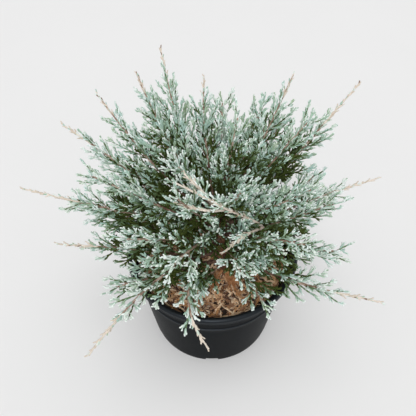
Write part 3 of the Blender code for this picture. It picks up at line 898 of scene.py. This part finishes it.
# Youth and painted light give a shoot its tone. The value grows along a stem, on its upper side
# and with each order of side shoots, and it is more for growth in the open than for growth that
# other sprays cover. The lift on the upper side and in the open is partly bloom and partly
# painted light, and the drop under cover is painted shade as well as older, greener growth.
YOUTH_ALONG = 0.34
YOUTH_ALONG_TO = 0.8
YOUTH_AND_PAINTED_LIGHT_UPWARD = 0.05
YOUTH_SPREAD = 0.085
YOUTH_STEP = 0.13
YOUTH_AND_PAINTED_LIGHT_IN_OPEN = 0.42
SHORT_YOUTH = 0.20
SHORT_YOUTH_SHARE = 0.5
COVER_CELL = 0.014
COVER_DEPTH = 3.0
TONES = ("olive", "shade", "mint", "silver", "cream", "frost", "twig")
OLIVE, SHADE, MINT, SILVER, CREAM, FROST_AND_PAINTED_HIGHLIGHT, TWIG = range(len(TONES))
GREEN, PALE, CREAM_BUD, BROWN_BUD = range(4)
OLIVE_TO = 0.295
SHADE_TO = 0.375
TONE_SPREAD = 0.03
OLIVE_AXIS_TO = 0.25
SILVER_FROM = 0.40
SILVER_RISE = 5.0
SILVER_SHARE = {"low": 1.0, "mid": 0.92, "top": 0.66}
# Where a cord's near-white end starts, and how likely a silvery cord gets one. The near-white ends are
# partly bloom and partly painted highlight.
FROST_AND_PAINTED_HIGHLIGHT_FROM = 0.46
FROST_AND_PAINTED_HIGHLIGHT_CHANCE = (0.45, 0.90)
# The shares of cream, then green, then silver buds, added up. The rest are brown.
CREAM_TIP_BUDS = (0.76, 0.84, 0.96)
BROWN_TIP_BUDS = (0.60, 0.80, 0.92)
# Not quite upright, so that a cord that points straight up still has a side.
CORD_UP = UP + np.array([0.003, 0.002, 0.0])


def across_and_above(ahead):
    beside = unit(np.cross(ahead, CORD_UP))
    return beside, np.cross(beside, ahead)


class Growth:
    """Shoots of one order, held as arrays with one row for each shoot."""

    columns = ("foot", "heading", "bend", "normal", "length", "stout", "youth", "tier", "kind")

    def __init__(self, **values):
        for column in self.columns:
            setattr(self, column, np.asarray(values[column]))

    def __len__(self):
        return len(self.foot)

    def pick(self, chosen):
        return Growth(**{column: getattr(self, column)[chosen] for column in self.columns})

    def changed(self, **values):
        """The same shoots with some of their columns changed."""
        return Growth(**{column: values.get(column, getattr(self, column)) for column in self.columns})

    def at(self, share):
        """Points at a share of each shoot's length, and its heading there."""
        share = np.broadcast_to(share, len(self.foot)).reshape(-1, 1)
        length = self.length[:, None]
        points = self.foot + (self.heading + self.bend * share) * length * share
        return points, unit(self.heading + 2 * self.bend * share)


def join_growth(*parts):
    return Growth(**{c: np.concatenate([getattr(part, c) for part in parts]) for c in Growth.columns})


def bent(heading, onward, bend):
    """How a shoot bends on its way: onward by the first share of the bend, and up by the second."""
    pull = onward - heading * np.sum(onward * heading, 1, keepdims=True)
    lift = UP - heading * heading[:, 2:3]
    return bend[0] * pull + bend[1] * lift


def seats(stem, spacing, role):
    """Where plumes or filling sprays sit on a stem: share, turn, size, angle and kind of each."""
    pale = stem["kind"] == "pale"
    first, last = stem["first"], 1 - stem["bare"] / stem["length"]
    if role == "fill":
        first = min(first, FILL_FIRST)
    count = max(4, round(stem["length"] * (last - first) / (spacing * AIRY.get(stem["name"], 1.0))))
    order = np.arange(count)
    kind = np.full(count, PALE if pale else GREEN)
    if role == "plume":
        shares = first + (last - first) * order / count
        turn = np.radians(GOLDEN_ANGLE * order + stem["turn"])
        size = PLUME_LENGTH * np.interp(shares / last, *PLUME_SWELL) * stem["size"]
        if pale:
            size = np.minimum(size, PALE_PLUME_LONGEST)
        return shares, turn, size, np.full(count, PLUME_FORWARD), kind
    shares = first + (last - first) * (order + 0.5) / count
    turn = np.radians(GOLDEN_ANGLE * order + stem["turn"] + FILL_TURN)
    left = np.maximum(1 - shares / last, 0.0)
    size = FILL_LENGTH * (0.55 + 0.45 * left) * min(1.0, 0.25 + stem["size"])
    forward = np.full(count, FILL_FORWARD)
    if pale or stem["bare"] > LEADER_BARE:
        start = PALE_BUDS_FROM if pale else last
        buds = max(2, int((1 - start) * stem["length"] / BUD_SPACING))
        order = np.arange(buds)
        shares = np.concatenate([shares, start + (1 - start) * (order + 0.5) / buds])
        turn = np.concatenate([turn, np.radians(GOLDEN_ANGLE * order)])
        size = np.concatenate([size, np.linspace(*BUD_LENGTH, buds)])
        forward = np.concatenate([forward, np.linspace(*BUD_FORWARD, buds)])
        kind = np.concatenate([kind, np.full(buds, CREAM_BUD if cream_tipped(stem) else BROWN_BUD)])
    return shares, turn, size, forward, kind


def along_stems(spacing, rng, role):
    """Plumes, or filling sprays and buds, set all round the stems by the golden angle."""
    parts = []
    for stem in stems:
        shares, turn, size, forward, kind = seats(stem, spacing, role)
        count = len(shares)
        points, ahead = along(stem["path"], shares)
        beside, above = across_and_above(ahead)
        aside = AIRY_DRAWN_ASIDE if stem["name"] in AIRY else DRAWN_ASIDE
        turn = turn - aside * np.sin(2 * turn) + rng.normal(0, TURN_SPREAD, count)
        outward = beside * np.cos(turn)[:, None] + above * np.sin(turn)[:, None]
        forward = forward - 10 * np.clip(np.sin(turn), 0, 1) + rng.normal(0, ANGLE_SPREAD, count)
        forward = np.radians(forward)[:, None]
        heading = unit(ahead * np.cos(forward) + outward * np.sin(forward))
        # Growth on the upper side of a stem is dealt lighter tones: partly bloom, partly painted light.
        youth = YOUTH_ALONG * np.clip(shares / YOUTH_ALONG_TO, 0, 1) + YOUTH_AND_PAINTED_LIGHT_UPWARD * outward[:, 2]
        youth = youth + rng.normal(0, YOUTH_SPREAD, count)
        stout = STOUT[stem["tier"]]
        if stem["kind"] in ("inner", "pale"):
            youth = youth * SHORT_YOUTH_SHARE + SHORT_YOUTH
            stout = SHORT_STOUT
        grown = Growth(
            foot=points, heading=heading, bend=bent(heading, ahead, STEM_BEND),
            normal=unit(np.cross(ahead, outward)),
            length=size * rng.uniform(*PLUME_LENGTH_SPREAD, count),
            stout=np.clip(stout + rng.normal(0, STOUT_SPREAD, count), 0, 1),
            youth=youth, tier=np.full(count, TIERS.index(stem["tier"])), kind=kind,
        )
        # A pale shoot carries its growth to the sides, and its stem shows from the open side.
        parts.append(grown.pick((kind != PALE) | (outward @ OPEN_SIDE < PALE_SIDE_LIMIT)))
    return join_growth(*parts)


def clear_of_pot(points):
    """True where a point is clear of the pot's wall and lip and of the mulch."""
    out = np.hypot(points[:, 0], points[:, 1])
    in_mulch = (out < SOIL_EDGE) & (points[:, 2] < soil_height(out) + MULCH_CLEAR)
    over_wall = (out > SOIL_EDGE - WALL_CLEAR) & (out < RIM_RADIUS + POT_CLEAR)
    return ~(in_mulch | (over_wall & (points[:, 2] < POT_HEIGHT + POT_CLEAR)))


def within_reach(points):
    """True where a point is not further out than the plant's solids reach, with a small margin."""
    low, high = np.array(cad_box[0]) - REACH_MARGIN, np.array(cad_box[1]) + REACH_MARGIN
    return np.all((points > low) & (points < high), axis=1)


def has_room(growth):
    """True for growth that stays clear of the pot and the mulch, and within the plant's reach."""
    ok = np.ones(len(growth), bool)
    for share in (0.5, 1.0):
        points, _ = growth.at(share)
        ok &= clear_of_pot(points) & within_reach(points)
    return ok


def cover_above(points):
    """How many sprays stand over each point, counted in cells of the crown's room."""
    place = ((points - points.min(0)) / COVER_CELL).astype(int) + 1
    counts = np.zeros(place.max(0) + 2)
    np.add.at(counts, tuple(place.T), 1)
    wide = sum(np.roll(counts, (i, j), (0, 1)) for i in (-1, 0, 1) for j in (-1, 0, 1)) / 9
    above = np.cumsum(wide[:, :, ::-1], axis=2)[:, :, ::-1] - wide
    return above[tuple(place.T)]


def over_pale_shoots(growth):
    """True for growth that would lie over the pale shoots, which came up through it."""
    points, _ = growth.at(0.6)
    over = np.zeros(len(growth), bool)
    for stem in stems:
        if stem["kind"] != "pale":
            continue
        for place in along(stem["path"], np.linspace(0.1, 1.0, 14))[0]:
            for rise in OVER_PALE_RISES:
                over |= np.linalg.norm(points - place - OPEN_SIDE * rise, axis=1) < OVER_PALE_RADIUS
    return over


def by_build(pair, stout):
    """A value between that of a slim plume and that of a stout spray."""
    return pair[0] + (pair[1] - pair[0]) * stout


def side_growth(parent, spacing, first, opening, lengths, rng, whorled=False):
    """Side shoots of every shoot in the arrays: all round it, or left and right in turn."""
    counts = np.maximum(2, (parent.length * (0.96 - first) / by_build(spacing, parent.stout)).astype(int))
    source = np.repeat(np.arange(len(parent)), counts)
    order = np.concatenate([np.arange(c) for c in counts])
    place = first + (0.95 - first) * (order + 0.5) / counts[source]
    own = parent.pick(source)
    points, onward = own.at(place)
    if whorled:
        turn = np.radians(GOLDEN_ANGLE) * order + source * 1.3
        turn = turn - SPRAY_DRAWN_ASIDE * np.sin(2 * turn) + rng.normal(0, WHORL_SPREAD, len(order))
    else:
        turn = np.where(order % 2, 0.0, math.pi) + rng.normal(0, PAIR_SPREAD, len(order))
    side = unit(np.cross(own.normal, onward))
    normal = unit(np.cross(onward, side))
    outward = side * np.cos(turn)[:, None] + normal * np.sin(turn)[:, None]
    angle = by_build(opening, own.stout) - 9 * place + rng.normal(0, ANGLE_SPREAD, len(order))
    angle = np.radians(angle)[:, None]
    heading = unit(onward * np.cos(angle) + outward * np.sin(angle))
    return Growth(
        foot=points, heading=heading, bend=bent(heading, onward, SIDE_BEND),
        normal=unit(np.cross(outward, onward)),
        length=lengths(own, place) * rng.uniform(*SIDE_LENGTH_SPREAD, len(order)),
        stout=own.stout, youth=own.youth + YOUTH_STEP * place, tier=own.tier, kind=own.kind,
    )


def spray_lengths(plume, place):
    """Sprays are shorter on a short plume, close to its foot and towards its end."""
    full = by_build(SPRAY_LENGTH, plume.stout) * np.clip(plume.length / FULL_PLUME_LENGTH, 0.62, 1.1)
    return full * (0.62 + 0.38 * np.minimum(place / 0.22, 1)) * (1.10 - place) ** 0.5


def cord_lengths(spray, place):
    """Cords are a share of their spray's length, and shorter towards its end."""
    length = spray.length * by_build(CORD_SHARE, spray.stout) * (1.12 - place) ** 0.6
    return np.clip(length, CORD_SHORTEST, by_build(CORD_LONGEST, spray.stout))


def twig_lengths(cord, place):
    return by_build(TWIG_LENGTH, cord.stout)


spray_rng = np.random.default_rng(1234)
plumes = along_stems(PLUME_SPACING, spray_rng, "plume")
plumes = plumes.pick(has_room(plumes))
sprays = side_growth(
    plumes, SPRAY_SPACING, SPRAY_FIRST, SPRAY_OPENING, spray_lengths, spray_rng, whorled=True,
)
# Each plume ends in a spray that goes on in its own line.
ends, onward = plumes.at(PLUME_END_FROM)
plume_ends = plumes.changed(
    foot=ends, heading=onward, length=np.maximum(plumes.length * PLUME_END_SHARE, PLUME_END_LEAST),
    youth=plumes.youth + YOUTH_STEP,
)
fills = along_stems(FILL_SPACING, spray_rng, "fill")
buds = fills.pick(fills.kind >= CREAM_BUD)
fills = fills.pick(fills.kind < CREAM_BUD)
sprays = join_growth(sprays, plume_ends, fills)
sprays = sprays.pick(has_room(sprays))
sprays = sprays.pick((sprays.kind == PALE) | ~over_pale_shoots(sprays))
# Growth with little above it has kept its bloom, and growth under the crown has lost it. The
# darkening of covered growth is also painted shade, where the crown above would shade it.
cover = cover_above(sprays.at(0.6)[0])
sprays = sprays.changed(youth=sprays.youth + YOUTH_AND_PAINTED_LIGHT_IN_OPEN * np.exp(-cover / COVER_DEPTH))
cords = side_growth(sprays, CORD_SPACING, CORD_FIRST, CORD_OPENING, cord_lengths, spray_rng)
forked = cords.pick(cords.length > by_build(FORKED_CORD_LENGTH, cords.stout))
twigs = side_growth(forked, TWIG_SPACING, TWIG_FIRST, CORD_OPENING, twig_lengths, spray_rng)
bud_cords = side_growth(buds, CORD_SPACING, BUD_CORD_FIRST, BUD_CORD_OPENING, twig_lengths, spray_rng)


def toned(growth, rng, silver_chance):
    """Old or covered growth is olive, then comes blue-green shade, then mint, and some of it is silver.
    The darker tones on covered growth and the lighter ones on upper sides are partly painted shade and
    light.
    """
    youth = growth.youth + rng.normal(0, TONE_SPREAD, len(growth))
    tone = np.where(youth < OLIVE_TO, OLIVE, np.where(youth < SHADE_TO, SHADE, MINT))
    tone = np.where((growth.kind == PALE) & (tone < MINT), MINT, tone)
    share = np.array([SILVER_SHARE[tier] for tier in TIERS])[growth.tier] * silver_chance
    chance = share * np.clip((youth - SILVER_FROM) * SILVER_RISE, 0, 1)
    bloomed = (tone == MINT) & (rng.uniform(0, 1, len(growth)) < chance)
    return np.where(bloomed, SILVER, tone)


def bud_tones(growth, rng):
    """Buds are cream, and some of them green, silver or brown, more so on a brown tip."""
    shares = np.where((growth.kind == BROWN_BUD)[:, None], BROWN_TIP_BUDS, CREAM_TIP_BUDS)
    draw = rng.uniform(0, 1, len(growth))[:, None]
    return np.array([CREAM, MINT, SILVER, TWIG])[(draw > shares).sum(1)]


# The axes of the plumes are bare, woody twigs for their first part and green beyond it.
plume_wood = plumes.changed(length=plumes.length * PLUME_WOOD, bend=plumes.bend * PLUME_WOOD)
green_foot, green_heading = plumes.at(PLUME_WOOD - 0.06)
green_share = 1.02 - PLUME_WOOD
plume_green = plumes.changed(
    foot=green_foot, heading=green_heading,
    length=plumes.length * green_share, bend=plumes.bend * green_share,
)
# Each kind of growth, its tones, and how thick it is beside a spray.
layers = (
    (plume_wood, np.full(len(plumes), TWIG), 0.72),
    (plume_green, np.where(plumes.youth < OLIVE_AXIS_TO, OLIVE, SHADE), 0.85),
    (sprays, toned(sprays, spray_rng, 0.5), 1.0),
    (cords, toned(cords, spray_rng, 0.9), 1.0),
    (twigs, toned(twigs, spray_rng, 1.0), 0.92),
    (buds, bud_tones(buds, spray_rng), 1.04),
    (bud_cords, bud_tones(bud_cords, spray_rng), 0.80),
)
all_cords = join_growth(*[growth for growth, _, _ in layers])
cord_tone = np.concatenate([tone for _, tone, _ in layers])
thick = np.concatenate([np.full(len(growth), factor) for growth, _, factor in layers])
cord_radius = by_build(CORD_RADIUS, all_cords.stout) * thick
cord_radius = cord_radius * spray_rng.uniform(*CORD_RADIUS_SPREAD, len(all_cords))
ok = has_room(all_cords)
all_cords, cord_tone, cord_radius = all_cords.pick(ok), cord_tone[ok], cord_radius[ok]
# The ends of the silvery cords are the youngest growth, and frosted nearly white. These
# near-white ends are partly real bloom and partly a painted highlight on the cord tips.
frost_and_painted_highlight_chance = by_build(FROST_AND_PAINTED_HIGHLIGHT_CHANCE, all_cords.stout)
has_frost_and_painted_highlight = (cord_tone == SILVER) & (spray_rng.uniform(0, 1, len(cord_tone)) < frost_and_painted_highlight_chance)
frost = all_cords.pick(has_frost_and_painted_highlight)
frost_and_painted_highlight_foot, frost_and_painted_highlight_heading = frost.at(FROST_AND_PAINTED_HIGHLIGHT_FROM)
frost_and_painted_highlight_share = 1.04 - FROST_AND_PAINTED_HIGHLIGHT_FROM
frost = frost.changed(
    foot=frost_and_painted_highlight_foot, heading=frost_and_painted_highlight_heading,
    length=frost.length * frost_and_painted_highlight_share, bend=frost.bend * frost_and_painted_highlight_share,
)
all_cords = join_growth(all_cords, frost)
cord_tone = np.concatenate([cord_tone, np.full(len(frost), FROST_AND_PAINTED_HIGHLIGHT)])
cord_radius = np.concatenate([cord_radius, cord_radius[has_frost_and_painted_highlight] * 1.04])


def cord_mesh(name, cords, radius):
    """Cords clad in pairs of scale leaves, each pair turned a quarter from the last, as one mesh."""
    pairs = np.clip(np.round(cords.length / SCALE_LENGTH).astype(int), *SCALE_PAIRS)
    all_points, all_faces, total = [], [], 0
    for rings in np.unique(pairs):
        chosen = pairs == rings
        own, thick = cords.pick(chosen), radius[chosen]
        beside, above = across_and_above(own.heading)
        points = np.zeros((len(own), rings * 4 + 1, 3))
        for ring in range(rings):
            share = CORD_TAPER_FROM * ring / (rings - 1)
            middle, _ = own.at(share)
            swell = thick * np.interp(share, *CORD_SWELL)
            wide, narrow = (SCALE_WIDE, SCALE_NARROW) if ring % 2 else (SCALE_NARROW, SCALE_WIDE)
            for corner, (a, b) in enumerate(((wide, 0), (0, narrow), (-wide, 0), (0, -narrow))):
                offset = beside * (swell * a)[:, None] + above * (swell * b)[:, None]
                points[:, ring * 4 + corner] = middle + offset
        points[:, -1], _ = own.at(1.0)
        quads = tube_faces(rings, 4)
        last = (rings - 1) * 4
        caps = np.array([(last + c, last + (c + 1) % 4, rings * 4) for c in range(4)])
        triangles = np.concatenate([quads[:, [0, 1, 2]], quads[:, [0, 2, 3]], caps])
        shift = total + (rings * 4 + 1) * np.arange(len(own))
        all_points.append(points.reshape(-1, 3))
        all_faces.append((triangles[None] + shift[:, None, None]).reshape(-1, 3))
        total += len(own) * (rings * 4 + 1)
    points = np.concatenate(all_points).astype(np.float32)
    faces = np.concatenate(all_faces).astype(np.int32)
    mesh = bpy.data.meshes.new(name)
    mesh.vertices.add(len(points))
    mesh.vertices.foreach_set("co", points.ravel())
    mesh.loops.add(len(faces) * 3)
    mesh.loops.foreach_set("vertex_index", faces.ravel())
    mesh.polygons.add(len(faces))
    mesh.polygons.foreach_set("loop_start", np.arange(0, len(faces) * 3, 3, dtype=np.int32))
    mesh.update(calc_edges=True)
    return mesh


# For each tone: the finish's name, its range of colours, the size of its mottling, its
# roughness and its shine.
TONE_FINISHES = {
    # Olive and shade go to covered growth and silver to open growth, so besides age and bloom these tones
    # carry painted shade and painted light.
    "olive": ("inner_olive_scales", [(0.032, 0.046, 0.007), (0.072, 0.098, 0.018)], 60.0, 0.80, 0.20),
    "shade": ("shaded_blue_green_scales", [(0.090, 0.138, 0.046), (0.150, 0.238, 0.122)], 60.0, 0.75, 0.30),
    "mint": (
        "mint_scales", [(0.365, 0.480, 0.325), (0.395, 0.550, 0.445), (0.450, 0.625, 0.570)],
        60.0, 0.70, 0.35,
    ),
    "silver": ("silver_bloom_scales", [(0.63, 0.73, 0.630), (0.75, 0.85, 0.82)], 60.0, 0.70, 0.35),
    "cream": ("cream_bud_scales", [(0.60, 0.52, 0.42), (0.78, 0.70, 0.61)], 90.0, 0.70, 0.35),
    "frost": ("frost_and_painted_highlight_tips", [(0.81, 0.87, 0.81), (0.88, 0.94, 0.94)], 60.0, 0.70, 0.35),
    "twig": ("plume_twig_bark", [(0.16, 0.092, 0.058), (0.31, 0.200, 0.140)], 90.0, 0.80, 0.30),
}
tone_finish = {
    tone: surface(name, tones, mottling, roughness, shine=shine)
    for tone, (name, tones, mottling, roughness, shine) in TONE_FINISHES.items()
}
masses_by_tier = {
    tier: [f"mass_{shoot[0]}" for shoot in SHOOTS if ("top" if shoot[1] == "crown" else shoot[1]) == tier]
    for tier in TIERS
}
for tier_number, tier in enumerate(TIERS):
    for tone_number, tone in enumerate(TONES):
        own = (all_cords.tier == tier_number) & (cord_tone == tone_number)
        if not own.any():
            continue
        mesh = cord_mesh(f"sprays_{tier}_{tone}", all_cords.pick(own), cord_radius[own])
        piece = add_piece(f"sprays_{tier}_{tone}", mesh, tone_finish[tone])
        if tone == "mint":
            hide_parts(*masses_by_tier[tier])

# The stage: a plain pale floor under an even dome of studio light, with one broad, soft key
# light above and a little in front of the plant, and a round softbox straight overhead.
FLOOR_TONE = 0.78
FLOOR_HALF = 20.0
DOME_STRENGTH = 0.75
KEY_STRENGTH = 1.08
KEY_SOFTNESS = 14
KEY_TILT = 36
KEY_TURN = -6
SOFTBOX_WATTS = 3.8
SOFTBOX_SIZE = 0.8
SOFTBOX_PLACE = (0.0, -0.1, 2.2)


def add_light(name, kind, energy):
    data = bpy.data.lights.new(name, kind)
    data.energy = energy
    light = bpy.data.objects.new(name, data)
    bpy.context.scene.collection.objects.link(light)
    return light


floor_corners = [(FLOOR_HALF * x, FLOOR_HALF * y, 0) for x, y in ((-1, -1), (1, -1), (1, 1), (-1, 1))]
floor_mesh = make_mesh("floor", floor_corners, [(0, 1, 2, 3)])
floor_mesh.materials.append(surface("pale_floor", [(FLOOR_TONE,) * 3, (FLOOR_TONE + 0.01,) * 3], 3.0, 0.9))
floor = bpy.data.objects.new("floor", floor_mesh)
bpy.context.scene.collection.objects.link(floor)

dome = bpy.data.worlds.new("studio")
bpy.context.scene.world = dome
dome.use_nodes = True
dome.node_tree.nodes["Background"].inputs["Color"].default_value = (1.0, 1.0, 1.0, 1.0)
dome.node_tree.nodes["Background"].inputs["Strength"].default_value = DOME_STRENGTH

key_light = add_light("key_light", "SUN", KEY_STRENGTH)
key_light.data.angle = math.radians(KEY_SOFTNESS)
key_light.rotation_euler = (math.radians(KEY_TILT), 0.0, math.radians(KEY_TURN))

softbox = add_light("overhead_softbox", "AREA", SOFTBOX_WATTS)
softbox.data.shape = "DISK"
softbox.data.size = SOFTBOX_SIZE
softbox.location = SOFTBOX_PLACE

# The camera: it stands in front of the pot and looks down on the plant at the photograph's
# angle, with a normal lens and no shift.
CAMERA_PLACE = (-0.007, -0.4942, 0.8986)
CAMERA_PITCH = 50.5
CAMERA_LENS = 45.0
CAMERA_SENSOR = 36.0
CAMERA_NEAR = 0.01
camera_data = bpy.data.cameras.new("camera")
camera_data.lens = CAMERA_LENS
camera_data.sensor_width = CAMERA_SENSOR
camera_data.clip_start = CAMERA_NEAR
camera = bpy.data.objects.new("camera", camera_data)
camera.location = CAMERA_PLACE
camera.rotation_euler = (math.radians(90 - CAMERA_PITCH), 0.0, 0.0)
bpy.context.scene.collection.objects.link(camera)
bpy.context.scene.camera = camera
bpy.context.scene.view_settings.view_transform = "Standard"
